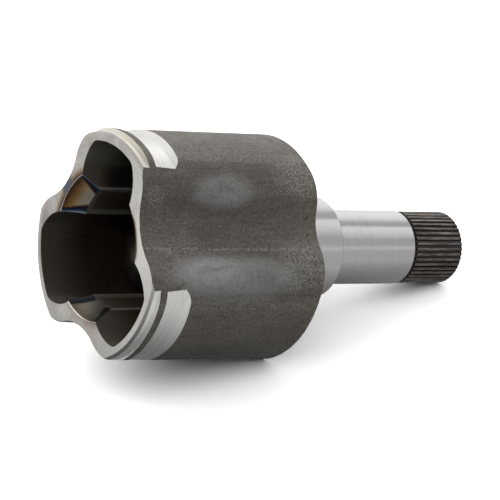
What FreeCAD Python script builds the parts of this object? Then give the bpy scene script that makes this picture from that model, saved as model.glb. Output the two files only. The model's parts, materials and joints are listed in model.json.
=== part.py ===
import FreeCAD, Part
import math
import os
import Sketcher

# Tripod constant-velocity joint: a lobed housing with a splined stub shaft, and the
# three-armed spider with its needle-borne rollers that runs in the housing's tracks.
#
# Frame: X is the shaft axis and points from the mouth to the splined end, Z points up
# through one lobe, and the origin is the centre of the shoulder in front of the journal.

SIZES = [
    ("lobe_radius", 38.0, "outside of the three lobes"),
    ("body_length", 65.15, "mouth face to flat back of the lobed body"),
    ("mouth_valley_depth", 10.55, "depth of a valley at the mouth"),
    ("mouth_valley_radius", 20.5, "hollow radius of a valley at the mouth"),
    ("back_valley_depth", 5.75, "depth of a valley at the back"),
    ("back_valley_radius", 15.5, "hollow radius of a valley at the back"),
    ("shoulder_round", 14.0, "rounding between a lobe and a valley"),
    ("edge_break", 0.25, "bevel on the body's outer end edges"),
    ("back_wall", 5.0, "metal behind the cavity floor"),
    ("lobe_wall", 4.1, "metal outside a track"),
    ("rib_wall", 7.45, "valley floor at the mouth to the tip of the rib inside it"),
    ("lead_in_height", 4.4, "how far the lead-in cone opens out at the mouth"),
    ("lead_in_depth", 7.0, "length of the lead-in cone"),
    ("track_corner", 4.0, "rounding between a track's side and its outer wall"),
    ("track_clearance", 0.4, "gap between a roller and the side of its track"),
    ("dish_radius", 14.0, "recess in the cavity floor for the end of the axle"),
    ("dish_slope", 4.0, "inward run of the recess's tapered wall"),
    ("dish_depth", 3.0, "depth of that recess"),
    ("rim_land_depth", 1.2, "depth of the turned land next to the mouth"),
    ("rim_land_width", 3.0, "mouth face to the end of that land"),
    ("rim_bevel", 0.8, "bevel between that land and the mouth face"),
    ("bead_width", 2.5, "unturned bead between the land and the boot seat"),
    ("seat_width", 6.75, "flat floor of the boot seat"),
    ("seat_depth", 1.0, "depth of the boot seat"),
    ("seat_ramp", 3.1, "length of the boot seat's sloped back wall"),
    ("collar_radius", 17.2, "turned collar behind the body"),
    ("collar_length", 23.5, "back of the body to the shoulder"),
    ("collar_bevel", 0.8, "bevel on the shoulder's outer edge"),
    ("journal_radius", 12.9, "ground seal and bearing journal"),
    ("journal_length", 34.9, "shoulder to the end of the journal"),
    ("journal_bevel", 0.4, "bevel at the end of the journal"),
    ("neck_width", 1.2, "run-out neck in front of the spline"),
    ("spline_radius", 12.7, "tips of the spline teeth"),
    ("spline_depth", 0.85, "height of the spline teeth"),
    ("spline_length", 21.0, "neck to the end of the shaft"),
    ("spline_teeth", 42, "teeth on the shaft"),
    ("spline_bevel", 1.0, "length of the bevel at the end of the spline"),
    ("centre_hole", 3.0, "mouth radius of the 60 degree turning centre"),
    ("arm_room", 3.0, "end of an arm to the outer wall of its track"),
    ("roller_radius", 14.8, "spherical outside of a roller"),
    ("roller_width", 10.8, "width of a roller along its arm"),
    ("roller_bevel", 0.5, "bevel at both ends of a roller's bore"),
    ("needle_diameter", 2.4, "needle diameter"),
    ("needle_play", 0.05, "gap on each side of a needle"),
    ("needle_length", 10.8, "needle length"),
    ("arm_radius", 8.1, "spider arm under the needles"),
    ("arm_bevel", 0.8, "bevel on the end of an arm"),
    ("washer_thickness", 0.8, "inner and outer needle washers"),
    ("washer_radius", 11.6, "outside of the needle washers"),
    ("washer_play", 0.05, "gap between a washer and its arm"),
    ("end_play", 0.3, "gap between a washer and the needles"),
    ("ring_thickness", 1.1, "snap ring on each arm"),
    ("ring_depth", 0.7, "depth of the snap ring's groove"),
    ("ring_height", 1.2, "how far a snap ring stands out of its groove"),
    ("ring_play", 0.05, "gap on each side of a snap ring"),
    ("arm_nose", 1.2, "arm left outside the snap ring's groove"),
    ("boss_radius", 11.0, "foot of each arm"),
    ("hub_step", 0.3, "outside of the spider's hub to the seats of the inner washers"),
    ("hub_width", 17.0, "length of the spider's hub"),
    ("hub_bevel", 1.2, "bevel on the hub's outer edges"),
    ("hub_wall", 3.3, "metal outside the roots of the teeth in the hub"),
    ("bore_depth", 0.9, "height of those teeth"),
    ("bore_teeth", 22, "teeth in the spider's bore"),
    ("bore_bevel", 1.2, "bevel at both ends of the bore"),
    ("rest_room", 4.5, "rollers to cavity floor with the spider fully home"),
]

MOUTH = "-(Sizes.collar_length + Sizes.body_length)"
BACK = "-Sizes.collar_length"
CAVITY_DEPTH = "(Sizes.body_length - Sizes.back_wall)"
MOUTH_VALLEY = "(Sizes.lobe_radius - Sizes.mouth_valley_depth)"
BACK_VALLEY = "(Sizes.lobe_radius - Sizes.back_valley_depth)"
RIB_TIP = f"({MOUTH_VALLEY} - Sizes.rib_wall)"
RIM_LAND = "(Sizes.lobe_radius - Sizes.rim_land_depth)"
TRACK_SIDE = "(Sizes.roller_radius + Sizes.track_clearance)"
TRACK_OUTSIDE = "(Sizes.lobe_radius - Sizes.lobe_wall)"
SPLINE_START = "(Sizes.journal_length + Sizes.neck_width)"
SHAFT_END = f"({SPLINE_START} + Sizes.spline_length)"
SPLINE_ROOT = "(Sizes.spline_radius - Sizes.spline_depth)"
NEEDLE_CIRCLE = "(Sizes.arm_radius + Sizes.needle_play + Sizes.needle_diameter / 2)"
ROLLER_BORE = "(Sizes.arm_radius + 2 * Sizes.needle_play + Sizes.needle_diameter)"
GROOVE_WIDTH = "(Sizes.ring_thickness + 2 * Sizes.ring_play)"
GROOVE_RADIUS = "(Sizes.arm_radius - Sizes.ring_depth)"
ARM_END = f"({TRACK_OUTSIDE} - Sizes.arm_room)"
RING_GROOVE = f"({ARM_END} - Sizes.arm_nose - {GROOVE_WIDTH})"
OUTER_WASHER = f"({RING_GROOVE} - Sizes.washer_thickness)"
NEEDLE_TOP = f"({OUTER_WASHER} - Sizes.end_play)"
PITCH = f"({NEEDLE_TOP} - Sizes.needle_length / 2)"
NEEDLE_FOOT = f"({NEEDLE_TOP} - Sizes.needle_length)"
INNER_WASHER = f"({NEEDLE_FOOT} - Sizes.end_play - Sizes.washer_thickness)"
HUB = f"({INNER_WASHER} - Sizes.hub_step)"
BORE_ROOT = f"({HUB} - Sizes.hub_wall)"
BORE_TIP = f"({BORE_ROOT} - Sizes.bore_depth)"
SPIDER_X = f"({MOUTH} + {CAVITY_DEPTH} - Sizes.roller_radius - Sizes.rest_room)"

ARMS = 3
ARM_STEP = 360.0 / ARMS
OVERCUT = 1.0
FRONT, END, CENTRE = range(1, 4)
AXIS_X = FreeCAD.Vector(1, 0, 0)
AXIS_Z = FreeCAD.Vector(0, 0, 1)

doc = FreeCAD.newDocument("TripodJoint")
sheet = doc.addObject("Spreadsheet::Sheet", "Sizes")
for row, (alias, value, meaning) in enumerate(SIZES, start=1):
    sheet.set(f"A{row}", meaning)
    sheet.set(f"B{row}", str(value))
    sheet.setAlias(f"B{row}", alias)
doc.recompute()


def number(expression):
    """The value that an expression on the sheet has now."""
    return float(sheet.evalExpression(expression))


# Sketch helpers

def new_body(name):
    body = doc.addObject("PartDesign::Body", name)
    body.Label = name
    return body


def origin_part(body, role):
    """A body's own origin plane or axis, found by its role."""
    return next(item for item in body.Origin.OriginFeatures if item.Role == role)


def new_sketch(body, name, role, offset=None):
    """A sketch on one of the body's origin planes, moved along the plane's normal."""
    sketch = body.newObject("Sketcher::SketchObject", name)
    sketch.AttachmentSupport = (origin_part(body, role), [""])
    sketch.MapMode = "FlatFace"
    if offset:
        sketch.setExpression(".AttachmentOffset.Base.z", offset)
    return sketch


def tie(sketch, kind, where, expression):
    """Add a dimension and bind it to the sheet."""
    index = sketch.addConstraint(Sketcher.Constraint(kind, *where, number(expression)))
    sketch.setExpression(f"Constraints[{index}]", expression)


def place_point(sketch, where, across, up):
    """Fix a point of the sketch at two expressions; "0" puts it on the sketch axis."""
    for kind, axis, expression in (("DistanceX", -2, across), ("DistanceY", -1, up)):
        if expression == "0":
            sketch.addConstraint(Sketcher.Constraint("PointOnObject", *where, axis))
        elif expression:
            tie(sketch, kind, where, expression)


def add_chain(sketch, corners, closed=True):
    """Straight edges through corners given as pairs of expressions."""
    spots = [FreeCAD.Vector(number(across), number(up), 0) for across, up in corners]
    count = len(spots) if closed else len(spots) - 1
    first = sketch.GeometryCount
    for index in range(count):
        sketch.addGeometry(Part.LineSegment(spots[index], spots[(index + 1) % len(spots)]))
    for index in range(1, count):
        link = (first + index - 1, END, first + index, FRONT)
        sketch.addConstraint(Sketcher.Constraint("Coincident", *link))
    if closed:
        link = (first + count - 1, END, first, FRONT)
        sketch.addConstraint(Sketcher.Constraint("Coincident", *link))
    for index in range(count):
        place_point(sketch, (first + index, FRONT), *corners[index])
    if not closed:
        place_point(sketch, (first + count - 1, END), *corners[-1])
    return first, first + count - 1


def add_arc(sketch, centre, radius, start, end):
    """A free arc, counter-clockwise between two angles in radians."""
    circle = Part.Circle(FreeCAD.Vector(centre[0], centre[1], 0), AXIS_Z, radius)
    return sketch.addGeometry(Part.ArcOfCircle(circle, start, end))


def add_circle(sketch, radius, across="0", up="0"):
    spot = FreeCAD.Vector(number(across), number(up), 0)
    circle = sketch.addGeometry(Part.Circle(spot, AXIS_Z, number(radius)))
    place_point(sketch, (circle, CENTRE), across, up)
    tie(sketch, "Radius", (circle,), radius)
    return circle


# Feature helpers

# Features keep the faces that they meet unmerged, because merging the lofted faces of
# the lobed body with a cut beside them leaves a broken solid.

def revolve(body, name, sketch, axis="H_Axis", cut=False, angle=360.0):
    kind = "PartDesign::Groove" if cut else "PartDesign::Revolution"
    feature = body.newObject(kind, name)
    feature.Refine = False
    feature.Profile = sketch
    feature.ReferenceAxis = (sketch, [axis])
    feature.Angle = angle
    body.Tip = feature
    return feature


def pocket(body, name, sketch, depth, forward=False):
    """Cut a sketch along its normal, or against it, to a depth given as an expression."""
    feature = body.newObject("PartDesign::Pocket", name)
    feature.Refine = False
    feature.Profile = sketch
    feature.Reversed = forward
    feature.setExpression("Length", depth)
    body.Tip = feature
    return feature


def ring_pattern(body, name, feature, role, count):
    """Repeat a feature round one of the body's axes."""
    pattern = body.newObject("PartDesign::PolarPattern", name)
    pattern.Refine = False
    pattern.Originals = [feature]
    pattern.Axis = (origin_part(body, role), [""])
    pattern.Angle = 360.0
    pattern.setExpression("Occurrences", count)
    body.Tip = pattern
    return pattern


# Housing

def lobed_outline(sketch, floor, hollow, inset):
    """Three lobes and three hollow valleys, joined by rounded shoulders.

    The valleys point down and to both upper sides. An inset draws the same outline
    smaller all round, which keeps every arc tangent to the next.
    """
    lobe = f"(Sizes.lobe_radius - {inset})"
    shoulder = f"(Sizes.shoulder_round - {inset})"
    valley = f"({hollow} + {inset})"
    reach = f"({floor} + {hollow})"
    lobe_r, shoulder_r, valley_r, reach_r = map(number, (lobe, shoulder, valley, reach))
    inner = lobe_r - shoulder_r
    spread = inner**2 + reach_r**2 - (valley_r + shoulder_r)**2
    half_valley = math.acos(spread / (2 * inner * reach_r))
    step = math.radians(ARM_STEP)
    half_lobe = step / 2 - half_valley

    def polar(radius, angle):
        return radius * math.cos(angle), radius * math.sin(angle)

    def heading(start, end):
        return math.atan2(end[1] - start[1], end[0] - start[0])

    lobes, risers, fallers, valleys = [], [], [], []
    for index in range(ARMS):
        middle = math.pi / 2 + index * step
        leave = middle + half_lobe
        arrive = middle + step - half_lobe
        falling = polar(inner, leave)
        rising = polar(inner, arrive)
        hollow_centre = polar(reach_r, middle + step / 2)
        lobes.append(add_arc(sketch, (0, 0), lobe_r, middle - half_lobe, leave))
        fallers.append(add_arc(sketch, falling, shoulder_r, leave, heading(falling, hollow_centre)))
        to_rising = heading(hollow_centre, rising)
        to_falling = heading(hollow_centre, falling)
        valleys.append(add_arc(sketch, hollow_centre, valley_r, to_rising, to_falling))
        risers.append(add_arc(sketch, rising, shoulder_r, heading(rising, hollow_centre), arrive))
    for index in range(ARMS):
        joints = (
            (lobes[index], END, fallers[index], FRONT),
            (fallers[index], END, valleys[index], END),
            (valleys[index], FRONT, risers[index], FRONT),
            (risers[index], END, lobes[(index + 1) % ARMS], FRONT),
        )
        for joint in joints:
            sketch.addConstraint(Sketcher.Constraint("Tangent", *joint))
        sketch.addConstraint(Sketcher.Constraint("Coincident", lobes[index], CENTRE, -1, FRONT))
        bearing = 90 + ARM_STEP * (index + 0.5)
        across = f"{reach} * cos({bearing})"
        up = f"{reach} * sin({bearing})"
        if abs(math.cos(math.radians(bearing))) < 1e-9:
            across = "0"
        place_point(sketch, (valleys[index], CENTRE), across, up)
    for arcs, radius in ((lobes, lobe), (valleys, valley), (risers + fallers, shoulder)):
        tie(sketch, "Radius", (arcs[0],), radius)
        for arc in arcs[1:]:
            sketch.addConstraint(Sketcher.Constraint("Equal", arcs[0], arc))


def track_outline(sketch):
    """One roller track: round sides, rounded corners and an outer wall round the axis."""
    side, outside, corner, pitch = map(
        number, (TRACK_SIDE, TRACK_OUTSIDE, "Sizes.track_corner", PITCH)
    )
    far = outside - corner
    near = side - corner
    up = (far**2 - near**2 + pitch**2) / (2 * pitch)
    across = math.sqrt(far**2 - up**2)
    corner_heading = math.atan2(up, across)
    side_heading = math.atan2(up - pitch, across)
    foot = pitch - side / 2
    foot_heading = math.asin((foot - pitch) / side)
    middle = (0, pitch)
    right_corner = add_arc(sketch, (across, up), corner, side_heading, corner_heading)
    left_corner = add_arc(
        sketch, (-across, up), corner, math.pi - corner_heading, math.pi - side_heading
    )
    outer = add_arc(sketch, (0, 0), outside, corner_heading, math.pi - corner_heading)
    right = add_arc(sketch, middle, side, foot_heading, side_heading)
    left = add_arc(sketch, middle, side, math.pi - side_heading, math.pi - foot_heading)
    half_foot = side * math.cos(foot_heading)
    base = sketch.addGeometry(
        Part.LineSegment(FreeCAD.Vector(-half_foot, foot, 0), FreeCAD.Vector(half_foot, foot, 0))
    )
    for joint in (
        (right, END, right_corner, FRONT),
        (right_corner, END, outer, FRONT),
        (outer, END, left_corner, FRONT),
        (left_corner, END, left, FRONT),
    ):
        sketch.addConstraint(Sketcher.Constraint("Tangent", *joint))
    for joint in (
        (left, END, base, FRONT),
        (base, END, right, FRONT),
        (left, CENTRE, right, CENTRE),
        (outer, CENTRE, -1, FRONT),
    ):
        sketch.addConstraint(Sketcher.Constraint("Coincident", *joint))
    sketch.addConstraint(Sketcher.Constraint("Horizontal", base))
    sketch.addConstraint(Sketcher.Constraint("Equal", left, right))
    sketch.addConstraint(Sketcher.Constraint("Equal", left_corner, right_corner))
    place_point(sketch, (right, CENTRE), "0", PITCH)
    tie(sketch, "Radius", (right,), TRACK_SIDE)
    tie(sketch, "Radius", (outer,), TRACK_OUTSIDE)
    tie(sketch, "Radius", (right_corner,), "Sizes.track_corner")
    tie(sketch, "DistanceY", (base, FRONT), f"{PITCH} - {TRACK_SIDE} / 2")


def tooth_gap(sketch, tip, root, teeth, tip_share, root_share):
    """A gap between two teeth, tapered from the tips towards the root."""
    wide = f"({tip}) * sin({tip_share} * 360 / {teeth})"
    narrow = f"({root}) * sin({root_share} * 360 / {teeth})"
    add_chain(sketch, [
        (f"-({wide})", tip),
        (f"-({narrow})", root),
        (narrow, root),
        (wide, tip),
    ])


def build_stub_shaft(body):
    """Collar, ground journal, run-out neck and spline, turned about one axis."""
    profile = new_sketch(body, "ShaftProfile", "XZ_Plane")
    inside = f"({BACK} - Sizes.back_wall / 2)"
    add_chain(profile, [
        (inside, "0"),
        (inside, "Sizes.collar_radius"),
        ("-Sizes.collar_bevel", "Sizes.collar_radius"),
        ("0", "Sizes.collar_radius - Sizes.collar_bevel"),
        ("0", "Sizes.journal_radius"),
        ("Sizes.journal_length - Sizes.journal_bevel", "Sizes.journal_radius"),
        ("Sizes.journal_length", "Sizes.journal_radius - Sizes.journal_bevel"),
        ("Sizes.journal_length", SPLINE_ROOT),
        (SPLINE_START, SPLINE_ROOT),
        (SPLINE_START, "Sizes.spline_radius"),
        (f"{SHAFT_END} - Sizes.spline_bevel", "Sizes.spline_radius"),
        (SHAFT_END, f"Sizes.spline_radius - Sizes.spline_bevel * tan(30)"),
        (SHAFT_END, "0"),
    ])
    revolve(body, "Shaft", profile)

    gap = new_sketch(body, "ToothGap", "YZ_Plane", SHAFT_END)
    tooth_gap(gap, f"Sizes.spline_radius + {OVERCUT} * 0.1", SPLINE_ROOT,
              "Sizes.spline_teeth", 0.31, 0.13)
    cut = pocket(body, "ToothGapCut", gap, "Sizes.spline_length + Sizes.neck_width / 2")
    doc.recompute()
    ring_pattern(body, "Spline", cut, "X_Axis", "Sizes.spline_teeth")

    centre = new_sketch(body, "TurningCentre", "XZ_Plane")
    add_chain(centre, [
        (SHAFT_END, "0"),
        (SHAFT_END, "Sizes.centre_hole"),
        (f"{SHAFT_END} - Sizes.centre_hole / tan(30)", "0"),
    ])
    revolve(body, "TurningCentreCut", centre, cut=True)


def build_lobed_body(body):
    """The forged outside: its valleys get shallower from the mouth to the back."""
    mouth_shape = (MOUTH_VALLEY, "Sizes.mouth_valley_radius")
    back_shape = (BACK_VALLEY, "Sizes.back_valley_radius")
    stations = (
        ("MouthEdge", MOUTH, mouth_shape, "Sizes.edge_break"),
        ("MouthSection", f"{MOUTH} + Sizes.edge_break", mouth_shape, "0"),
        ("BackSection", f"{BACK} - Sizes.edge_break", back_shape, "0"),
        ("BackEdge", BACK, back_shape, "Sizes.edge_break"),
    )
    sections = []
    for name, place, shape, inset in stations:
        sketch = new_sketch(body, name, "YZ_Plane", place)
        lobed_outline(sketch, *shape, inset)
        sections.append(sketch)
    loft = body.newObject("PartDesign::AdditiveLoft", "LobedBody")
    loft.Profile = sections[0]
    loft.Sections = sections[1:]
    loft.Ruled = True
    loft.Refine = False
    body.Tip = loft


def cut_cavity(body):
    """Round middle, three roller tracks, floor recess and the lead-in at the mouth."""
    middle = new_sketch(body, "RibCircle", "YZ_Plane", MOUTH)
    add_circle(middle, RIB_TIP)
    pocket(body, "RibBore", middle, CAVITY_DEPTH, forward=True)

    track = new_sketch(body, "TrackOutline", "YZ_Plane", MOUTH)
    track_outline(track)
    cut = pocket(body, "TrackCut", track, CAVITY_DEPTH, forward=True)
    doc.recompute()
    ring_pattern(body, "Tracks", cut, "X_Axis", str(ARMS))

    floor = f"({MOUTH} + {CAVITY_DEPTH})"
    recess = new_sketch(body, "FloorRecess", "XZ_Plane")
    add_chain(recess, [
        (f"{floor} - {OVERCUT}", "0"),
        (f"{floor} - {OVERCUT}", "Sizes.dish_radius"),
        (floor, "Sizes.dish_radius"),
        (f"{floor} + Sizes.dish_depth", "Sizes.dish_radius - Sizes.dish_slope"),
        (f"{floor} + Sizes.dish_depth", "0"),
    ])
    revolve(body, "FloorRecessCut", recess, cut=True)

    lead_in = new_sketch(body, "LeadIn", "XZ_Plane")
    rise = f"Sizes.lead_in_height * (1 + {OVERCUT} / Sizes.lead_in_depth)"
    add_chain(lead_in, [
        (f"{MOUTH} - {OVERCUT}", "0"),
        (f"{MOUTH} - {OVERCUT}", f"{RIB_TIP} + {rise}"),
        (f"{MOUTH} + Sizes.lead_in_depth", RIB_TIP),
        (f"{MOUTH} + Sizes.lead_in_depth", "0"),
    ])
    revolve(body, "LeadInCut", lead_in, cut=True)


def turn_boot_seat(body):
    """The land beside the mouth and the boot seat, turned on the lobes only."""
    clear = "(Sizes.lobe_radius + Sizes.seat_depth)"
    land = new_sketch(body, "RimLand", "XZ_Plane")
    add_chain(land, [
        (f"{MOUTH} - {OVERCUT}", clear),
        (f"{MOUTH} - {OVERCUT}", f"{RIM_LAND} - Sizes.rim_bevel - {OVERCUT}"),
        (f"{MOUTH} + Sizes.rim_bevel", RIM_LAND),
        (f"{MOUTH} + Sizes.rim_land_width", RIM_LAND),
        (f"{MOUTH} + Sizes.rim_land_width", clear),
    ])
    revolve(body, "RimLandCut", land, cut=True)

    start = f"({MOUTH} + Sizes.rim_land_width + Sizes.bead_width)"
    floor = "(Sizes.lobe_radius - Sizes.seat_depth)"
    seat = new_sketch(body, "BootSeat", "XZ_Plane")
    add_chain(seat, [
        (start, clear),
        (start, floor),
        (f"{start} + Sizes.seat_width", floor),
        (f"{start} + Sizes.seat_width + 2 * Sizes.seat_ramp", clear),
    ])
    revolve(body, "BootSeatCut", seat, cut=True)


def build_housing():
    body = new_body("housing")
    build_stub_shaft(body)
    build_lobed_body(body)
    cut_cavity(body)
    turn_boot_seat(body)
    return body


# Spider and what it carries

def on_spider(body, index=0):
    """Move a body to the spider's middle and turn it to one of the arms."""
    body.Placement = FreeCAD.Placement(
        FreeCAD.Vector(number(SPIDER_X), 0, 0), FreeCAD.Rotation(AXIS_X, ARM_STEP * index)
    )
    body.setExpression(".Placement.Base.x", SPIDER_X)
    return body


def build_spider():
    body = new_body("tripod_spider")
    half = "(Sizes.hub_width / 2)"
    hub = new_sketch(body, "HubProfile", "XZ_Plane")
    add_chain(hub, [
        (f"-{half}", f"{BORE_TIP} + Sizes.bore_bevel"),
        (f"-{half}", f"{HUB} - Sizes.hub_bevel"),
        (f"Sizes.hub_bevel - {half}", HUB),
        (f"{half} - Sizes.hub_bevel", HUB),
        (half, f"{HUB} - Sizes.hub_bevel"),
        (half, f"{BORE_TIP} + Sizes.bore_bevel"),
        (f"{half} - Sizes.bore_bevel", BORE_TIP),
        (f"Sizes.bore_bevel - {half}", BORE_TIP),
    ])
    revolve(body, "Hub", hub)

    arm = new_sketch(body, "ArmProfile", "XZ_Plane")
    add_chain(arm, [
        ("0", BORE_ROOT),
        ("Sizes.boss_radius * 0.6", BORE_ROOT),
        ("Sizes.boss_radius", f"{HUB} - Sizes.hub_bevel * 2"),
        ("Sizes.boss_radius", INNER_WASHER),
        ("Sizes.arm_radius", INNER_WASHER),
        ("Sizes.arm_radius", RING_GROOVE),
        (GROOVE_RADIUS, RING_GROOVE),
        (GROOVE_RADIUS, f"{RING_GROOVE} + {GROOVE_WIDTH}"),
        ("Sizes.arm_radius", f"{RING_GROOVE} + {GROOVE_WIDTH}"),
        ("Sizes.arm_radius", f"{ARM_END} - Sizes.arm_bevel"),
        ("Sizes.arm_radius - Sizes.arm_bevel", ARM_END),
        ("0", ARM_END),
    ])
    turned = revolve(body, "Arm", arm, axis="V_Axis")
    doc.recompute()
    ring_pattern(body, "Arms", turned, "X_Axis", str(ARMS))

    gap = new_sketch(body, "BoreGap", "YZ_Plane", half)
    tooth_gap(gap, f"{BORE_TIP} - {OVERCUT} * 0.3", BORE_ROOT, "Sizes.bore_teeth", 0.31, 0.15)
    cut = pocket(body, "BoreGapCut", gap, "Sizes.hub_width")
    doc.recompute()
    ring_pattern(body, "BoreSpline", cut, "X_Axis", "Sizes.bore_teeth")
    return on_spider(body)


def build_roller(index):
    """A ring with a spherical outside, which lets it tilt in its round-sided track."""
    body = new_body(f"roller_{index + 1}")
    sketch = new_sketch(body, "RollerProfile", "XZ_Plane")
    radius, pitch, width = map(
        number, ("Sizes.roller_radius", PITCH, "Sizes.roller_width")
    )
    foot = f"({PITCH} - Sizes.roller_width / 2)"
    top = f"({PITCH} + Sizes.roller_width / 2)"
    reach = math.asin(width / 2 / radius)
    crown = add_arc(sketch, (0, pitch), radius, -reach, reach)
    place_point(sketch, (crown, CENTRE), "0", PITCH)
    tie(sketch, "Radius", (crown,), "Sizes.roller_radius")
    tie(sketch, "DistanceY", (crown, FRONT), foot)
    tie(sketch, "DistanceY", (crown, END), top)
    edge = radius * math.cos(reach)
    first, last = add_chain(sketch, [
        (f"{ROLLER_BORE} + Sizes.roller_bevel", top),
        (ROLLER_BORE, f"{top} - Sizes.roller_bevel"),
        (ROLLER_BORE, f"{foot} + Sizes.roller_bevel"),
        (f"{ROLLER_BORE} + Sizes.roller_bevel", foot),
    ], closed=False)
    upper = sketch.addGeometry(Part.LineSegment(
        FreeCAD.Vector(edge, number(top), 0),
        FreeCAD.Vector(number(f"{ROLLER_BORE} + Sizes.roller_bevel"), number(top), 0),
    ))
    lower = sketch.addGeometry(Part.LineSegment(
        FreeCAD.Vector(number(f"{ROLLER_BORE} + Sizes.roller_bevel"), number(foot), 0),
        FreeCAD.Vector(edge, number(foot), 0),
    ))
    for joint in (
        (crown, END, upper, FRONT),
        (upper, END, first, FRONT),
        (last, END, lower, FRONT),
        (lower, END, crown, FRONT),
    ):
        sketch.addConstraint(Sketcher.Constraint("Coincident", *joint))
    revolve(body, "Roller", sketch, axis="V_Axis")
    return on_spider(body, index)


def build_needles(index):
    """A full ring of loose needles: as many as fit side by side round the arm."""
    body = new_body(f"needle_set_{index + 1}")
    body.AllowCompound = True
    sketch = new_sketch(body, "NeedleCircle", "XY_Plane", NEEDLE_FOOT)
    add_circle(sketch, "Sizes.needle_diameter / 2", across=NEEDLE_CIRCLE)
    needle = body.newObject("PartDesign::Pad", "Needle")
    needle.Profile = sketch
    needle.setExpression("Length", "Sizes.needle_length")
    body.Tip = needle
    doc.recompute()
    pitch_angle = f"2 * asin((Sizes.needle_diameter / 2 + Sizes.needle_play / 2) / {NEEDLE_CIRCLE})"
    ring_pattern(body, "NeedleRing", needle, "Z_Axis", f"floor(360 deg / ({pitch_angle}))")
    return on_spider(body, index)


def build_washer(name, index, foot):
    """A flat ring that stops the needles at one end."""
    body = new_body(f"{name}_{index + 1}")
    sketch = new_sketch(body, "WasherCircles", "XY_Plane", foot)
    add_circle(sketch, "Sizes.washer_radius")
    add_circle(sketch, "Sizes.arm_radius + Sizes.washer_play")
    pad = body.newObject("PartDesign::Pad", "Washer")
    pad.Profile = sketch
    pad.setExpression("Length", "Sizes.washer_thickness")
    body.Tip = pad
    return on_spider(body, index)


def build_snap_ring(index):
    """An open ring in its groove; its gap lets it be spread over the arm."""
    body = new_body(f"snap_ring_{index + 1}")
    sketch = new_sketch(body, "RingProfile", "XZ_Plane")
    inner = f"({GROOVE_RADIUS} + Sizes.ring_play)"
    outer = "(Sizes.arm_radius + Sizes.ring_height)"
    foot = f"({RING_GROOVE} + Sizes.ring_play)"
    top = f"({foot} + Sizes.ring_thickness)"
    add_chain(sketch, [(inner, foot), (outer, foot), (outer, top), (inner, top)])
    revolve(body, "SnapRing", sketch, axis="V_Axis", angle=325.0)
    return on_spider(body, index)


parts = [build_housing(), build_spider()]
for arm_index in range(ARMS):
    parts.append(build_roller(arm_index))
    parts.append(build_needles(arm_index))
    parts.append(build_washer("inner_washer", arm_index, INNER_WASHER))
    parts.append(build_washer("outer_washer", arm_index, OUTER_WASHER))
    parts.append(build_snap_ring(arm_index))
doc.recompute()

for item in doc.Objects:
    if {"Invalid", "Error"} & set(item.State):
        raise RuntimeError(f"{item.Name} failed: {item.State}")
for part in parts:
    if part.Shape.isNull() or not part.Shape.isValid():
        raise RuntimeError(f"{part.Label} has no valid shape")

os.makedirs("parts", exist_ok=True)
for part in parts:
    part.Shape.exportStep(f"parts/{part.Label}.step")
    print(part.Label, len(part.Shape.Solids), "solids", round(part.Shape.Volume, 1), "mm3")
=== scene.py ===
import json
import math

import bpy
from mathutils import Euler, Matrix, Vector


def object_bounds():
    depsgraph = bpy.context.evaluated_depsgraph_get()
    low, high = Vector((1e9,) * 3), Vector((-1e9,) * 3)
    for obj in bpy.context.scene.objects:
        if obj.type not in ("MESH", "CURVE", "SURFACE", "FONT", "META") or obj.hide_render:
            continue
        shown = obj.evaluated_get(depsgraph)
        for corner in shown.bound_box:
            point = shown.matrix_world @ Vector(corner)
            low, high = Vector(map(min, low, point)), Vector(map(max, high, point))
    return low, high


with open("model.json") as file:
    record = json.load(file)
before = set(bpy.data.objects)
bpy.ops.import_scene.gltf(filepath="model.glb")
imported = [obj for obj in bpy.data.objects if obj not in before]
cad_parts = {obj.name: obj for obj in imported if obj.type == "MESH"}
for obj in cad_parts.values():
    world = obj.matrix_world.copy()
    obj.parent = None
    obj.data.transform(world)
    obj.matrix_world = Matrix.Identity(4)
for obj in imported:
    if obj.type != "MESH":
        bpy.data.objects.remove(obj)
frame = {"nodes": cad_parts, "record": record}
cad_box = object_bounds()
nodes = frame["nodes"]
mounts = {mount["name"]: mount for mount in frame["record"]["mounts"]}
scene = bpy.context.scene

MM = 0.001
DEGREE = math.radians(1)


def measures(name):
    """A mount's place along the shaft axis, its radius and its length, in millimetres."""
    mount = mounts[name]
    return mount["pos_m"][0] / MM, mount["dims"]["r_mm"], mount["dims"]["length_mm"]


SEAT_MIDDLE, SEAT, SEAT_LENGTH = measures("boot_seat")
SPLINE_MIDDLE, SPLINE_TIP, SPLINE_LENGTH = measures("output_spline")

# Places along the shaft axis, in millimetres
MOUTH = cad_box[0][0] / MM
VALLEY_EDGE_END = MOUTH + 0.22
BEVEL_END = MOUTH + 0.8
LAND_END = MOUTH + 3.0
LEAD_IN_END = MOUTH + 7.0
SEAT_START = SEAT_MIDDLE - SEAT_LENGTH / 2
SEAT_END = SEAT_MIDDLE + SEAT_LENGTH / 2
RAMP_END = SEAT_END + 3.1
CAVITY_FLOOR = -28.5
BACK = -23.5
JOURNAL_END = 34.9
SHAFT_END = SPLINE_MIDDLE + SPLINE_LENGTH / 2

# Distances from the shaft axis, in millimetres
RIB_TIP = 20.0
LEAD_IN = 24.4
TRACK_OUTSIDE = 33.9
LAND = 36.8
LOBE = cad_box[1][2] / MM

# A track's round side walls: their radius, and how far from the shaft axis their centre lies
TRACK_SIDE = 15.2
TRACK_CENTRE = 22.0

# Where the edge of a patch fades, and how far it wanders, as shares of the patch's half size
PATCH_EDGE = (0.45, 1.05)
PATCH_WANDER = 1.2


# Node helpers

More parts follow.
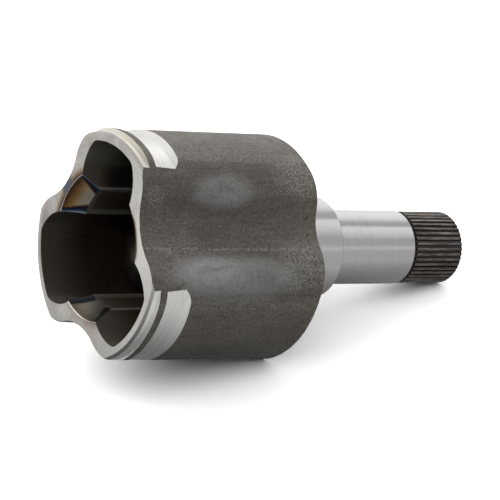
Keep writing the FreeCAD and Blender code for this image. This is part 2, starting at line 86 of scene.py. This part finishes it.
class Nodes:
    """A node tree and short ways to add to it. A value is a number, a vector or another node's output."""

    def __init__(self, tree):
        self.tree = tree

    def add(self, kind, out=0, ins=None, **settings):
        node = self.tree.nodes.new("ShaderNode" + kind)
        for name, value in settings.items():
            setattr(node, name, value)
        for name, value in (ins or {}).items():
            self.feed(node.inputs[name], value)
        return node.outputs[out]

    def feed(self, socket, value):
        if isinstance(value, bpy.types.NodeSocket):
            self.tree.links.new(value, socket)
        else:
            socket.default_value = value

    def math(self, operation, *values):
        return self.add("Math", 0, dict(enumerate(values)), operation=operation)

    def vector(self, operation, first, second=(0, 0, 0), out=0):
        return self.add("VectorMath", out, {0: first, 1: second}, operation=operation)

    def length(self, vector):
        return self.vector("LENGTH", vector, out="Value")

    def product(self, *factors):
        result = factors[0]
        for factor in factors[1:]:
            result = self.math("MULTIPLY", result, factor)
        return result

    def span(self, value, low, high, to_low=0.0, to_high=1.0, smooth=True):
        """A value between two limits turned to another range, and held there outside."""
        kind = "SMOOTHSTEP" if smooth else "LINEAR"
        ins = {"Value": value, "From Min": low, "From Max": high, "To Min": to_low, "To Max": to_high}
        return self.add("MapRange", 0, ins, interpolation_type=kind, clamp=True)

    def band(self, value, low, high, soft):
        """1 between two limits, falling to 0 over a soft width outside them."""
        return self.product(self.span(value, low - soft, low), self.span(value, high, high + soft, 1.0, 0.0))

    def background_rays(self):
        """1 for rays that show the background: from the camera, in gloss and through glass."""
        seen = self.add("LightPath", "Is Camera Ray")
        for ray in ("Is Glossy Ray", "Is Transmission Ray"):
            seen = self.math("MAXIMUM", seen, self.add("LightPath", ray))
        return seen


class Look(Nodes):
    """The material of a surface of the part."""

    def __init__(self, name, **plain):
        self.material = bpy.data.materials.new(name)
        self.material.use_nodes = True
        super().__init__(self.material.node_tree)
        self.shader = self.tree.nodes["Principled BSDF"]
        for socket, value in plain.items():
            self.shader.inputs[socket.replace("_", " ")].default_value = value
        self.place = self.add("TexCoord", "Object")

    def finish(self, colour=None, rough=None, normal=None):
        for name, value in (("Base Color", colour), ("Roughness", rough), ("Normal", normal)):
            if value is not None:
                self.feed(self.shader.inputs[name], value)
        return self.material

    def blend(self, factor, first, second):
        """The first colour, with as much of the second as the factor says."""
        node = self.tree.nodes.new("ShaderNodeMix")
        node.data_type = "RGBA"
        self.feed(node.inputs[0], factor)
        for index, colour in ((6, first), (7, second)):
            value = colour if isinstance(colour, bpy.types.NodeSocket) else (*colour, 1.0)
            self.feed(node.inputs[index], value)
        return node.outputs[2]

    def ramp(self, factor, *stops):
        """A colour read from stops, each a value and its colour."""
        node = self.tree.nodes.new("ShaderNodeValToRGB")
        self.feed(node.inputs[0], factor)
        band = node.color_ramp
        while len(band.elements) < len(stops):
            band.elements.new(0.5)
        for element, (spot, colour) in zip(band.elements, stops):
            element.position = spot
            element.color = (*colour, 1.0)
        return node.outputs[0]

    def bump(self, height, depth, strength=1.0, under=None):
        """Relief of a depth in millimetres, over another relief if there is one."""
        ins = {"Height": height, "Distance": depth * MM, "Strength": strength}
        if under:
            ins["Normal"] = under
        return self.add("Bump", 0, ins)

    def stretched(self, x, y, z):
        """The place on the part with each axis multiplied, so that noise is stretched the other way."""
        return self.vector("MULTIPLY", self.place, (x, y, z))

    def noise(self, scale, detail=2.0, rough=0.5, place=None, warp=0.0):
        ins = {"Scale": scale, "Detail": detail, "Roughness": rough, "Distortion": warp}
        ins["Vector"] = place or self.place
        return self.add("TexNoise", "Fac", ins)

    def astray(self, value, noise, reach):
        """A value that wanders with a noise by up to half the reach to each side."""
        return self.math("ADD", value, self.product(self.math("SUBTRACT", noise, 0.5), reach))

    def axis(self, name):
        return self.add("SeparateXYZ", name, {0: self.place})

    def along(self, name, start, end, low=0.0, high=1.0, smooth=True):
        """A value that changes between two places along an axis of the part, in millimetres."""
        return self.span(self.axis(name), start * MM, end * MM, low, high, smooth)

    def radius(self):
        """Distance from the shaft axis, in metres."""
        return self.length(self.vector("MULTIPLY", self.place, (0, 1, 1)))

    def outward(self, start, end, low=0.0, high=1.0, smooth=True):
        """A value that changes between two distances from the shaft axis, in millimetres."""
        return self.span(self.radius(), start * MM, end * MM, low, high, smooth)

    def turn(self):
        """Angle round the shaft axis, from the middle of the top lobe."""
        return self.math("ARCTAN2", self.axis("Y"), self.axis("Z"))

    def fold(self):
        """Angle round the shaft axis: 0 in the middle of each lobe, 60 degrees at each rib."""
        return self.math("PINGPONG", self.turn(), 60 * DEGREE)

    def side_gap(self):
        """Distance from the round side wall of the nearest track, in metres."""
        turn = self.fold()
        out = self.math("MULTIPLY", self.radius(), self.math("COSINE", turn))
        aside = self.math("MULTIPLY", self.radius(), self.math("SINE", turn))
        offset = self.add("CombineXYZ", 0, {0: self.math("SUBTRACT", out, TRACK_CENTRE * MM), 1: aside})
        return self.math("SUBTRACT", self.length(offset), TRACK_SIDE * MM)

    def patch(self, centre, size, ragged):
        """1 at a spot on the part, fading raggedly to 0 near its half sizes along X, Y and Z, in mm."""
        offset = self.vector("SUBTRACT", self.place, Vector(centre) * MM)
        reach = self.length(self.vector("MULTIPLY", offset, [1 / (half * MM) for half in size]))
        return self.span(self.astray(reach, ragged, PATCH_WANDER), *PATCH_EDGE, 1.0, 0.0)


def at(angle, radius, x=MOUTH):
    """A place in millimetres from its angle, +Y towards +Z, and its distance from the shaft axis."""
    turn = angle * DEGREE
    return (x, radius * math.cos(turn), radius * math.sin(turn))


# Finishes of the housing

SCALE_DARK = (0.036, 0.029, 0.022)
# Places and half sizes where the scale is worn and shows bright specks, in millimetres
WORN_PLACES = (
    ((-27, -19, 31), (14, 11, 8)),
    ((-29, -34, 6), (17, 11, 11)),
    ((-79, -34, 9), (7, 8, 3)),
    ((-84, -24, 25), (5, 6, 5)),
    ((-27, 33, 12), (16, 12, 14)),
    ((-27, 0, -34), (14, 16, 9)),
)


def scale_colour(look, clouds, streaks, hoops):
    """Dark forging scale with streaks along the axis and faint hoops round it."""
    threads = look.noise(420, 2, 0.6, look.stretched(0.06, 5, 5))
    base = look.ramp(
        clouds,
        (0.30, (0.064, 0.054, 0.043)),
        (0.50, (0.087, 0.075, 0.062)),
        (0.72, (0.115, 0.103, 0.088)),
    )
    base = look.blend(look.span(streaks, 0.45, 0.75, 0.0, 0.4), base, (0.145, 0.135, 0.120))
    base = look.blend(look.span(threads, 0.52, 0.70, 0.0, 0.35), base, (0.165, 0.153, 0.136))
    return look.blend(look.span(hoops, 0.50, 0.80, 0.0, 0.35), base, (0.060, 0.052, 0.044))


def lobe_crease_highlights(look, base, ragged, grain):
    """Painted highlights: lighter crests of the lobes, their shoulders, and a thin bright line on one
    shoulder of each, where light catches the creases.
    """
    lobe_only = (LOBE - 5.5, LOBE - 3.0)
    wander = look.astray(look.fold(), ragged, 0.03)
    crest = look.product(look.span(wander, 17 * DEGREE, 26 * DEGREE, 0.35, 0.0), look.outward(*lobe_only))
    base = look.blend(crest, base, (0.175, 0.160, 0.138))
    shoulder = look.band(wander, 19 * DEGREE, 23 * DEGREE, 0.05)
    shoulder = look.product(shoulder, look.outward(*lobe_only, 0.0, 0.3))
    way_round = look.math("FLOORED_MODULO", look.astray(look.turn(), ragged, 0.02), 120 * DEGREE)
    line = look.band(way_round, 48.3 * DEGREE, 49 * DEGREE, 0.012)
    line = look.product(line, look.span(grain, 0.4, 0.6), look.along("X", BACK - 7.5, BACK - 2.5, 0.7, 0.0))
    return look.blend(look.math("MAXIMUM", shoulder, line), base, (0.20, 0.19, 0.17))


def smooth_patches(look, base):
    """Smoother grey patches on the near side, above and below the valley."""
    mottle = look.noise(170, 5, 0.65, look.stretched(0.7, 1.3, 1.3), warp=0.8)
    upper = look.patch((-59.5, -22.3, 26.7), (15, 6.6, 6.6), mottle)
    lower = look.patch((-57, -36.4, 3.0), (31, 9, 9), mottle)
    bright = look.patch((-68, -35.8, 5.0), (16, 8, 7), mottle)
    smooth = look.product(look.math("MAXIMUM", upper, lower), look.span(mottle, 0.30, 0.62, 0.40, 0.9))
    base = look.blend(smooth, base, (0.188, 0.186, 0.182))
    bright = look.product(bright, look.span(mottle, 0.35, 0.65, 0.3, 0.9))
    return look.blend(bright, base, (0.240, 0.238, 0.233))


def forged_skin():
    """Dark phosphated forging: cloudy, finely pitted, with faint marks along the axis, painted highlights on
    the lobes' creases and painted shade under the near lobe.
    """
    look = Look("forged_skin", Metallic=0.15, Specular_IOR_Level=0.35)
    clouds = look.noise(55, 4, 0.6, warp=0.4)
    ragged = look.noise(130, 4, 0.65, look.stretched(0.7, 1.4, 1.4), warp=0.5)
    streaks = look.noise(110, 3, 0.65, look.stretched(0.22, 6, 6))
    hoops = look.noise(500, 2, 0.6, look.stretched(3, 0.25, 0.25))
    grain = look.noise(1300, 3, 0.7)
    specks = look.noise(3600, 2, 0.6, look.stretched(0.7, 1.2, 1.2))
    base = scale_colour(look, clouds, streaks, hoops)
    # Painted highlights along the lobes' crests and creases
    base = lobe_crease_highlights(look, base, ragged, grain)
    base = look.blend(look.span(grain, 0.36, 0.60, 0.6, 0.0), base, SCALE_DARK)
    base = smooth_patches(look, base)
    base = look.blend(look.span(grain, 0.36, 0.60, 0.2, 0.0), base, SCALE_DARK)
    # Painted shade: the underside of the near lobe is darkened to brown, standing in for the shade under the
    # part
    under = look.patch((-55, -19, -34), (45, 22, 17), ragged)
    base = look.blend(look.product(under, 0.55), base, (0.036, 0.028, 0.021))
    worn = 0.0
    for centre, size in WORN_PLACES:
        worn = look.math("MAXIMUM", worn, look.patch(centre, size, ragged))
    few = look.span(specks, 0.66, 0.75, 0.0, 0.5)
    many = look.product(look.span(specks, 0.55, 0.64, 0.0, 0.8), worn)
    base = look.blend(look.math("MAXIMUM", few, many), base, (0.42, 0.41, 0.385))
    rough = look.span(look.math("ADD", clouds, look.product(grain, 0.5)), 0.45, 1.0, 0.60, 0.42)
    height = look.math("ADD", grain, look.product(look.math("ADD", streaks, hoops), 0.8))
    return look.finish(base, rough, look.bump(clouds, 1.2, 0.3, look.bump(height, 0.22, 0.7)))


def lathe_steel(name, dark, light, rough_low, rough_high, anisotropy):
    """Cut steel with fine rings round the shaft axis; gives the look, its colour and its stains."""
    look = Look(name, Metallic=1.0, Anisotropic=anisotropy)
    rings = look.add("CombineXYZ", 0, {0: look.radius(), 1: look.axis("X"), 2: 0.0})
    marks = look.noise(3600, 2, 0.6, rings)
    coarse = look.noise(600, 2, 0.5, rings)
    stain = look.noise(150, 4, 0.65, warp=0.6)
    base = look.blend(look.span(marks, 0.3, 0.7), dark, light)
    base = look.blend(look.span(coarse, 0.45, 0.75, 0.0, 0.15), base, dark)
    rough = look.span(look.math("ADD", marks, look.product(stain, 0.5)), 0.5, 1.0, rough_low, rough_high)
    look.finish(rough=rough, normal=look.bump(marks, 0.03, 0.4))
    look.feed(look.shader.inputs["Tangent"], look.add("Tangent", 0, direction_type="RADIAL", axis="X"))
    return look, base, stain


def rib_tints(look, base, spread):
    """Brown heat tints on the rim where it meets the ribs, and a blued spot at the far upper one."""
    inner = look.outward(LEAD_IN, LEAD_IN + 4.0, 1.0, 0.0, smooth=False)
    thin = look.outward(LEAD_IN + 0.1, LEAD_IN + 1.4, 1.0, 0.0, smooth=False)
    brown = 0.0
    for centre, size, width, strength in (
        (at(27, 25), 17, inner, 1.0),
        (at(154, 24.4), 9, thin, 1.0),
        (at(252, 24.5), 9, inner, 0.55),
        (at(276, 25), 11, inner, 0.3),
    ):
        tint = look.product(look.patch(centre, (5, size, size), spread), width, strength)
        brown = look.math("MAXIMUM", brown, tint)
    base = look.blend(look.span(brown, 0.0, 0.75, smooth=False), base, look.ramp(
        brown,
        (0.15, (0.33, 0.27, 0.19)),
        (0.50, (0.15, 0.098, 0.052)),
        (0.90, (0.060, 0.034, 0.018)),
    ))
    blued = look.patch(at(30, 26.2), (5, 4.6, 4.6), spread)
    return look.blend(blued, base, look.ramp(
        blued,
        (0.10, (0.20, 0.14, 0.10)),
        (0.45, (0.090, 0.068, 0.056)),
        (0.85, (0.058, 0.066, 0.080)),
    ))


def rim_steel():
    """Turned rim of the mouth, stained, with heat tints beside the ribs and painted shade on its bevel."""
    dark, light = (0.27, 0.255, 0.24), (0.39, 0.375, 0.36)
    look, base, stain = lathe_steel("rim_steel", dark, light, 0.34, 0.46, 0.2)
    base = look.blend(look.span(stain, 0.48, 0.70, 0.0, 0.6), base, (0.25, 0.22, 0.185))
    base = look.blend(look.span(stain, 0.30, 0.46, 0.5, 0.0), base, (0.46, 0.45, 0.43))
    spread = look.span(look.noise(420, 3, 0.6), 0.0, 1.0, 0.30, 0.70, smooth=False)
    clean = look.patch(at(158, 29), (5, 10, 14), spread)
    base = look.blend(look.product(clean, 0.6), base, (0.50, 0.485, 0.46))
    rosy = look.patch(at(345, 34.5), (5, 14, 14), spread)
    rosy = look.product(rosy, look.outward(LAND - 3.0, LAND - 1.6, 0.8, 0.0))
    base = look.blend(rosy, base, (0.20, 0.165, 0.16))
    base = look.blend(look.along("Y", -20, 0, 0.5, 0.0), base, (0.52, 0.51, 0.49))
    base = rib_tints(look, base, spread)
    # Painted shade: the bevel just behind the mouth's face is darkened, standing in for the darker
    # surroundings that it reflects
    bevel = look.along("X", MOUTH + 0.08, MOUTH + 0.25, 0.0, 0.25)
    return look.finish(look.blend(bevel, base, (0.15, 0.14, 0.13)))


def band_steel():
    """Turned land and boot seat on the lobes, with painted shade on the top of the seat and a painted
    highlight on the underside of the land.
    """
    dark, light = (0.66, 0.645, 0.62), (0.79, 0.78, 0.76)
    look, base, stain = lathe_steel("band_steel", dark, light, 0.26, 0.38, 0.3)
    base = look.blend(look.span(stain, 0.55, 0.72, 0.0, 0.4), base, (0.58, 0.55, 0.50))
    top_land = look.product(look.along("X", LAND_END, SEAT_START, 0.55, 0.0), look.along("Z", 0, 20))
    base = look.blend(top_land, base, (0.60, 0.57, 0.49))
    # Painted shade: the top of the seat is darkened, standing in for less light falling on it from above
    painted_top_shade = look.product(look.along("Y", -13, -1, 0.0, 0.85), look.along("Z", 0, 20))
    top_seat_shade = look.product(painted_top_shade, look.along("X", LAND_END, SEAT_START))
    base = look.blend(top_seat_shade, base, (0.49, 0.475, 0.455))
    # Painted highlight: the land is made lighter towards the bottom, standing in for the bright reflection
    # it shows there
    underside = look.along("Z", -10, 0, 1.0, 0.0)
    low_land_highlight = look.product(look.along("X", LAND_END, SEAT_START, 0.8, 0.0), underside)
    return look.finish(look.blend(low_land_highlight, base, (0.95, 0.94, 0.92)))


def ground_steel():
    """Satin ground collar and journal."""
    dark, light = (0.447, 0.437, 0.432), (0.478, 0.472, 0.467)
    look, base, stain = lathe_steel("ground_steel", dark, light, 0.155, 0.205, 0.35)
    return look.finish(look.blend(look.span(stain, 0.5, 0.75, 0.0, 0.25), base, (0.38, 0.365, 0.355)))


def phosphated_teeth():
    """Dark rolled spline with crests rubbed lighter."""
    look = Look("phosphated_teeth", Metallic=0.3)
    clouds = look.noise(260, 3, 0.6, warp=0.4)
    patches = look.noise(420, 4, 0.7, look.stretched(0.35, 1.5, 1.5))
    grain = look.noise(1800, 2, 0.6)
    crest = look.outward(SPLINE_TIP - 0.45, SPLINE_TIP - 0.02)
    wear = look.product(crest, look.span(patches, 0.36, 0.64, 0.05, 1.0))
    ends = look.along("X", SHAFT_END - 3.6, SHAFT_END - 0.3, 1.0, 0.30)
    base = look.blend(look.span(clouds, 0.35, 0.7), (0.020, 0.015, 0.012), (0.042, 0.033, 0.028))
    base = look.blend(look.product(wear, ends), base, (0.25, 0.215, 0.19))
    base = look.blend(look.span(grain, 0.45, 0.75, 0.45, 0.0), base, (0.02, 0.016, 0.013))
    return look.finish(base, look.span(clouds, 0.3, 0.7, 0.38, 0.52), look.bump(grain, 0.08, 0.4))


def cavity_colour(look, clouds, streaks):
    """Dark oiled inside, with painted shade that deepens away from the mouth, painted light on the walls of
    the top track near the mouth, painted shade deeper in the top track and painted highlights in the track
    corners.
    """
    # Painted shade: the inside darkens from the mouth inwards, standing in for the light that falls off with
    # depth
    deep = look.along("X", MOUTH + 1, MOUTH + 22)
    front = look.ramp(clouds, (0.35, (0.054, 0.047, 0.038)), (0.65, (0.080, 0.070, 0.056)))
    rear = look.ramp(clouds, (0.35, (0.014, 0.009, 0.005)), (0.65, (0.028, 0.017, 0.009)))
    base = look.blend(deep, front, rear)
    streaked = look.product(look.span(streaks, 0.5, 0.75, 0.0, 0.4), look.span(deep, 0.0, 1.0, 1.0, 0.15))
    base = look.blend(streaked, base, (0.050, 0.044, 0.036))
    # Painted light: the walls of the top track are lighter near the mouth, where light comes in
    top_track_light = look.product(look.along("Z", 20, 28), look.along("X", MOUTH + 5, MOUTH + 18, 0.75, 0.0))
    base = look.blend(top_track_light, base, (0.15, 0.145, 0.130))
    # Painted shade: a near-black band 15.5 to 20.5 mm up, from 6 mm inside the mouth, standing in for the
    # shade deep in the top track
    deep_track_shade = look.band(look.axis("Z"), 15.5 * MM, 20.5 * MM, 3 * MM)
    deep_track_shade = look.product(deep_track_shade, look.along("X", MOUTH + 6, MOUTH + 12, 0.0, 0.8))
    base = look.blend(deep_track_shade, base, (0.006, 0.005, 0.004))
    # Painted highlights in the outer corners of the tracks, fading with depth
    corner = look.product(
        look.band(look.fold(), 21 * DEGREE, 25 * DEGREE, 0.05),
        look.outward(TRACK_OUTSIDE - 3.9, TRACK_OUTSIDE - 0.9),
        look.span(deep, 0.0, 0.9, 0.5, 0.0),
    )
    return look.blend(corner, base, (0.10, 0.092, 0.085))


def cavity_steel():
    """Inside of the housing, with painted highlights along the edges of the ribs."""
    look = Look("cavity_steel", Metallic=0.1, Specular_IOR_Level=0.4)
    clouds = look.noise(45, 3, 0.6, warp=0.5)
    streaks = look.noise(120, 3, 0.6, look.stretched(0.1, 6, 6))
    base = cavity_colour(look, clouds, streaks)
    gap = look.side_gap()
    # Painted highlights along the rib tips' edges and where the rib tips start, stronger on the upper ribs
    # than on the lower
    tip = look.outward(RIB_TIP + 0.1, RIB_TIP + 0.6, 1.0, 0.0)
    rail_highlights = look.band(gap, 0.6 * MM, 1.4 * MM, 0.6 * MM)
    start = look.along("X", LEAD_IN_END + 0.8, LEAD_IN_END + 2.4, 1.0, 0.0)
    shaded = look.along("Z", -10, 10, 0.3, 0.65)
    rib_edge_highlight = look.product(tip, look.math("MAXIMUM", rail_highlights, start), shaded)
    base = look.blend(rib_edge_highlight, base, (0.16, 0.15, 0.135))
    # Painted highlight: a thin bright line where the rib tips meet the tracks' side walls
    edge = look.outward(RIB_TIP + 0.1, RIB_TIP + 0.9, 1.0, 0.0)
    edge = look.product(edge, look.span(gap, 0.0, 0.4 * MM, 1.0, 0.0), 0.6)
    base = look.blend(edge, base, (0.30, 0.285, 0.265))
    return look.finish(base, look.span(clouds, 0.3, 0.7, 0.24, 0.38), look.bump(streaks, 0.12, 0.3))


def heated_steel():
    """Lead-in of the ribs, with temper colours from hardening, a painted reflection at its side walls and a
    painted highlight along its mouth edge.
    """
    look = Look("heated_steel", Metallic=1.0)
    depth = look.along("X", MOUTH, LEAD_IN_END, smooth=False)
    marks = look.noise(2400, 2, 0.6)
    drift = look.product(look.math("SUBTRACT", look.noise(190, 4, 0.6, warp=0.6), 0.5), 0.35)
    warm = look.ramp(
        look.math("ADD", depth, drift),
        (0.00, (0.070, 0.045, 0.036)),
        (0.10, (0.120, 0.062, 0.030)),
        (0.28, (0.310, 0.160, 0.062)),
        (0.50, (0.530, 0.345, 0.165)),
        (0.72, (0.620, 0.520, 0.380)),
        (1.00, (0.620, 0.580, 0.520)),
    )
    olive = look.ramp(
        look.math("ADD", depth, drift),
        (0.00, (0.130, 0.098, 0.058)),
        (0.15, (0.090, 0.077, 0.050)),
        (0.45, (0.130, 0.123, 0.100)),
        (0.90, (0.130, 0.122, 0.104)),
    )
    lowest_rib = look.along("Z", -18, -14, 1.0, 0.0)
    base = look.blend(lowest_rib, warm, olive)
    # The blue strip along both sides of a lead-in widens with depth
    width = look.span(depth, 0.0, 1.0, 1.2 * MM, 3.4 * MM, smooth=False)
    inward = look.math("ADD", look.math("DIVIDE", look.side_gap(), width), look.product(drift, 1.6))
    # The strip's palest stop, next to the side wall, is a painted reflection; on the lowest rib the strip is
    # dark instead
    strip = look.ramp(
        inward,
        (0.00, (0.340, 0.400, 0.430)),
        (0.18, (0.070, 0.120, 0.200)),
        (0.42, (0.016, 0.024, 0.060)),
        (0.75, (0.035, 0.018, 0.014)),
        (1.00, (0.085, 0.048, 0.024)),
    )
    strip = look.blend(look.product(lowest_rib, 0.94), strip, (0.012, 0.013, 0.016))
    base = look.blend(look.span(inward, 0.75, 1.25, 1.0, 0.0), base, strip)
    # Painted highlight: a near-white line along the edge of the lead-in at the mouth
    lip_highlight = look.span(depth, 0.018, 0.048, 1.0, 0.0)
    base = look.blend(lip_highlight, base, (0.90, 0.88, 0.90))
    return look.finish(base, look.span(marks, 0.3, 0.7, 0.26, 0.40), look.bump(marks, 0.04, 0.4))


skin, rim, bands, ground = forged_skin(), rim_steel(), band_steel(), ground_steel()
teeth, cavity, heated = phosphated_teeth(), cavity_steel(), heated_steel()
HOUSING_FINISHES = (skin, rim, bands, ground, teeth, cavity, heated)
# How near to a place a face counts as being on it, in millimetres
NEAR = 0.05
# The turning centre lies within this depth from the shaft's end and this radius, in millimetres
CENTRE_DEPTH = 16
CENTRE_RADIUS = 5


def housing_finish(centre, normal):
    """The finish of a face of the housing, from where it is and which way it faces."""
    x = centre.x / MM
    radius = math.hypot(centre.y, centre.z) / MM
    # 1 where the face looks straight away from the shaft axis, and -1 where it looks straight at it
    radial = (normal.y * centre.y + normal.z * centre.z) / MM / max(radius, 0.01)
    in_centre = x > SHAFT_END - CENTRE_DEPTH and radius < CENTRE_RADIUS
    if x > SHAFT_END - NEAR or in_centre:
        return ground
    if x > JOURNAL_END - NEAR:
        return teeth
    if x > BACK + NEAR:
        return ground
    on_bevel = x < BEVEL_END and radial > 0.3 and normal.x < -0.3 and radius > LAND - 0.9
    if x < MOUTH + NEAR or on_bevel:
        return rim
    if x < VALLEY_EDGE_END and radial > -0.05:
        return skin
    if radial < -0.05 or (radius < TRACK_OUTSIDE + NEAR and x > CAVITY_FLOOR - NEAR and normal.x < -0.1):
        lead_in = x < LEAD_IN_END + NEAR and radius < LEAD_IN + NEAR and normal.x < -0.2
        return heated if lead_in else cavity
    on_land = x < LAND_END and radial > 0.985 and abs(radius - LAND) < 0.4
    on_seat = SEAT_START - NEAR < x < SEAT_END and radial > 0.99 and abs(radius - SEAT) < 0.3
    on_step = abs(x - SEAT_START) < NEAR and radius > LAND and abs(normal.x) > 0.9
    on_ramp = SEAT_END - NEAR < x < RAMP_END and normal.x < -0.2
    if on_land or on_seat or on_step or on_ramp or normal.x < -0.9:
        return bands
    return skin


def dress(node, finishes, choose=None):
    """Gives a node its finishes. Choose picks one for each face; without it the first is on them all."""
    mesh = node.data
    mesh.materials.clear()
    for finish in finishes:
        mesh.materials.append(finish)
    for face in mesh.polygons:
        face.material_index = finishes.index(choose(face.center, face.normal)) if choose else 0


dress(nodes["housing"], HOUSING_FINISHES, housing_finish)


# Finishes of what runs inside the housing

def bearing_steel(name, dark, light, rough_low, rough_high):
    """Hardened steel of the spider and what it carries, under a thin film of grease."""
    look = Look(name, Metallic=0.9, Coat_Weight=0.15, Coat_Roughness=0.2)
    film = look.noise(90, 4, 0.6, warp=0.6)
    marks = look.noise(2600, 2, 0.6)
    base = look.blend(look.span(film, 0.35, 0.7), dark, light)
    base = look.blend(look.span(marks, 0.5, 0.75, 0.0, 0.4), base, dark)
    rough = look.span(film, 0.35, 0.7, rough_low, rough_high)
    return look.finish(base, rough, look.bump(marks, 0.03, 0.4))


washer_steel = bearing_steel("washer_steel", (0.16, 0.155, 0.15), (0.30, 0.29, 0.28), 0.28, 0.42)
INNER_FINISHES = {
    # Painted shade: the spider and rollers are far darker than their bright ground steel, to match the shade
    # deep inside the housing
    "tripod_spider": bearing_steel("spider_steel", (0.018, 0.013, 0.009), (0.040, 0.032, 0.025), 0.40, 0.55),
    "roller": bearing_steel("roller_steel", (0.026, 0.021, 0.016), (0.060, 0.054, 0.047), 0.32, 0.45),
    "needle_set": bearing_steel("needle_steel", (0.30, 0.30, 0.30), (0.50, 0.50, 0.51), 0.15, 0.25),
    "inner_washer": washer_steel,
    "outer_washer": washer_steel,
    "snap_ring": bearing_steel("spring_steel", (0.04, 0.04, 0.042), (0.09, 0.09, 0.095), 0.25, 0.38),
}
for name, node in nodes.items():
    for start, finish in INNER_FINISHES.items():
        if name.startswith(start):
            dress(node, (finish,))


# Floor, tilted because the part lies on its rear lobes and on the end of its shaft

LOBE_FOOT = Vector((-24.3, 0, -34.6)) * MM
SHAFT_FOOT = Vector((SHAFT_END, 0, -12.2)) * MM
slope = SHAFT_FOOT - LOBE_FOOT
tilt = math.atan2(slope.z, slope.x)
studio = Matrix.Translation((LOBE_FOOT + SHAFT_FOOT) / 2) @ Euler((0, -tilt, 0)).to_matrix().to_4x4()

FLOOR_HALF = 0.8
# How light the floor is to the part, how light in gloss, and how much lighter still to the camera
FLOOR_BOUNCE = 0.36
FLOOR_IN_GLOSS = 0.98
FLOOR_LIFT = 0.40


def stage_quad(name, half_width, y_low, y_high, height, build):
    """A level card over the studio floor. Build adds its nodes and gives the shader that it shows."""
    mesh = bpy.data.meshes.new(name)
    near, far = (-half_width, half_width), (half_width, -half_width)
    corners = [(x, y_low, 0) for x in near] + [(x, y_high, 0) for x in far]
    mesh.from_pydata(corners, [], [(0, 1, 2, 3)])
    material = bpy.data.materials.new(name + "_finish")
    material.use_nodes = True
    tree = material.node_tree
    tree.nodes.remove(tree.nodes["Principled BSDF"])
    graph = Nodes(tree)
    graph.feed(tree.nodes["Material Output"].inputs["Surface"], build(graph))
    mesh.materials.append(material)
    obj = bpy.data.objects.new(name, mesh)
    obj.matrix_world = studio @ Matrix.Translation((0, 0, height))
    scene.collection.objects.link(obj)
    return obj


def floor_paper(graph):
    """White paper that is lighter to the camera and in gloss than to the part, and clear from below."""
    shade = graph.span(graph.background_rays(), 0.0, 1.0, FLOOR_BOUNCE, FLOOR_IN_GLOSS, smooth=False)
    white = graph.math("MULTIPLY_ADD", graph.add("LightPath", "Is Camera Ray"), FLOOR_LIFT, shade)
    paper = graph.add("BsdfDiffuse", 0, {"Color": white})
    from_below = graph.add("NewGeometry", "Backfacing")
    return graph.add("MixShader", 0, {0: from_below, 1: paper, 2: graph.add("BsdfTransparent")})


stage_quad("floor", FLOOR_HALF, -FLOOR_HALF, FLOOR_HALF, 0.0, floor_paper)


# Light: cards that show in the metal's gloss, and a sky that lights the part and the floor

# Half the cards' width, and the height of those over the part and of those on the floor, in metres
CARD_HALF = 3.0
OVERHEAD = 0.5
TABLE = 0.001


def reflection_card(name, y_low, y_high, height, glow_start, glow_end, lean=0.0):
    """A card that only shows in gloss. Its glow goes from one (place, strength) along Y to another,
    where the place leans along X."""
    (start, first), (end, last) = glow_start, glow_end

    def glow(graph):
        spot = graph.add("TexCoord", "Object")
        x, y = (graph.add("SeparateXYZ", axis, {0: spot}) for axis in "XY")
        place = graph.math("MULTIPLY_ADD", x, lean, y)
        strength = graph.span(place, start, end, first, last, smooth=False)
        return graph.add("Emission", 0, {"Strength": strength})

    card = stage_quad(name, CARD_HALF, y_low, y_high, height, glow)
    card.visible_camera = False
    card.visible_diffuse = False
    card.visible_shadow = False
    card.visible_transmission = False


reflection_card("overhead_card", 0.22, 3.0, OVERHEAD, (0.22, 1.15), (0.50, 1.45))
reflection_card("gap_card", -0.04, 0.22, OVERHEAD, (-0.04, 0.55), (0.22, 0.80))
reflection_card("front_card", -6.0, -0.04, OVERHEAD, (-0.75, 0.67), (-0.06, 1.45))
reflection_card("table_card", -3.0, 0.0, TABLE, (-0.052, 0.70), (0.0, 0.17), lean=-0.3)
reflection_card("far_table_card", 0.0, 0.1, TABLE, (0.0, 0.13), (0.1, 1.10))

SKY_LEVEL = 1.85
# Between which heights the sky's ring of light fades in and out, as sines of the angle over the floor
RING_START = (0.34, 0.50)
RING_END = (0.89, 0.97)
# The ring's strength on the mouth's side and on the shaft's
MOUTH_SIDE = 1.3
SHAFT_SIDE = 0.7


def sky_share(graph):
    """The sky's light by direction: a ring round the part, fuller on the mouth's side."""
    way = graph.add("TexCoord", "Generated")
    turned = studio.to_3x3()
    up = graph.vector("DOT_PRODUCT", way, turned.col[2], out="Value")
    along = graph.vector("DOT_PRODUCT", way, turned.col[0], out="Value")
    return graph.product(
        graph.span(up, *RING_START, smooth=False),
        graph.span(up, *RING_END, 1.0, 0.0, smooth=False),
        graph.span(along, -0.8, 0.8, MOUTH_SIDE, SHAFT_SIDE, smooth=False),
    )


world = bpy.data.worlds.new("studio")
world.use_nodes = True
scene.world = world
sky = Nodes(world.node_tree)
background = world.node_tree.nodes["Background"]
background.inputs["Color"].default_value = (1, 1, 1, 1)
lit = sky.product(sky_share(sky), SKY_LEVEL)
strength = sky.span(sky.background_rays(), 0.0, 1.0, lit, 1.0, smooth=False)
sky.feed(background.inputs["Strength"], strength)


# Camera, at the photo's viewing angle, about 54 degrees off the shaft axis

CAMERA_PLACE = Vector((-0.441575, -0.538042, 0.197594))
CAMERA_TURN = Euler([angle * DEGREE for angle in (73.325216, -11.800851, -34.113086)])
camera_data = bpy.data.cameras.new("camera")
camera_data.lens = 151.2
camera_data.sensor_width = 36.0
camera_data.clip_start = 0.01
camera_data.clip_end = 10.0
camera = bpy.data.objects.new("camera", camera_data)
camera.matrix_world = Matrix.Translation(CAMERA_PLACE) @ CAMERA_TURN.to_matrix().to_4x4()
scene.collection.objects.link(camera)
scene.camera = camera
scene.view_settings.view_transform = "Standard"
